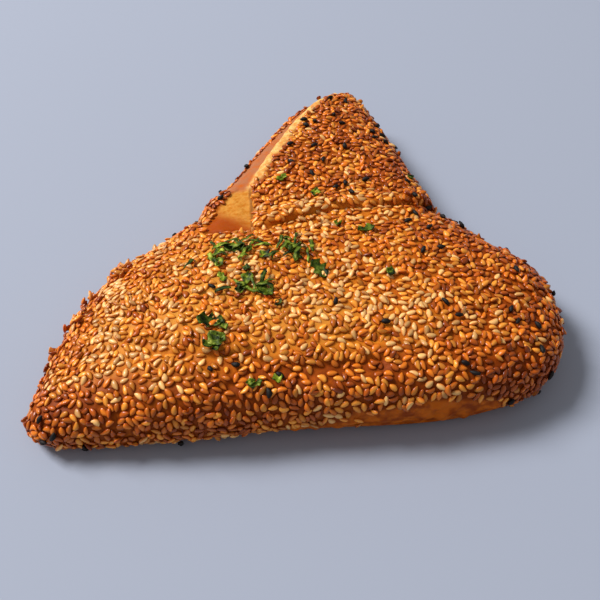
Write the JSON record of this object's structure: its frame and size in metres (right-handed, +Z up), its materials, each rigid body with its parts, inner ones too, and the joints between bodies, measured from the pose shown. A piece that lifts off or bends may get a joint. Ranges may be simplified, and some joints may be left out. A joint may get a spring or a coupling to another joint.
{
  "type": "samosa",
  "caption": "Large baked three-cornered samosa: a stuffed pastry with a rolled front edge, a folded tongue behind it and a sesame-seeded golden crust.",
  "frame": {"origin": "on the surface it rests on, under the middle of the pastry's box", "axes": "+X along the long folded front edge, to the right as seen from the front; +Y towards the narrow tongue; +Z up"},
  "size_m": [0.175, 0.1588, 0.0303],
  "materials": {
    "crust": "baked golden-brown dough, satin",
    "seeds": "toasted sesame, satin",
    "herbs": "chopped green herb, satin"
  },
  "bodies": {
    "root": {"samosa": "crust"}
  },
  "joints": []
}
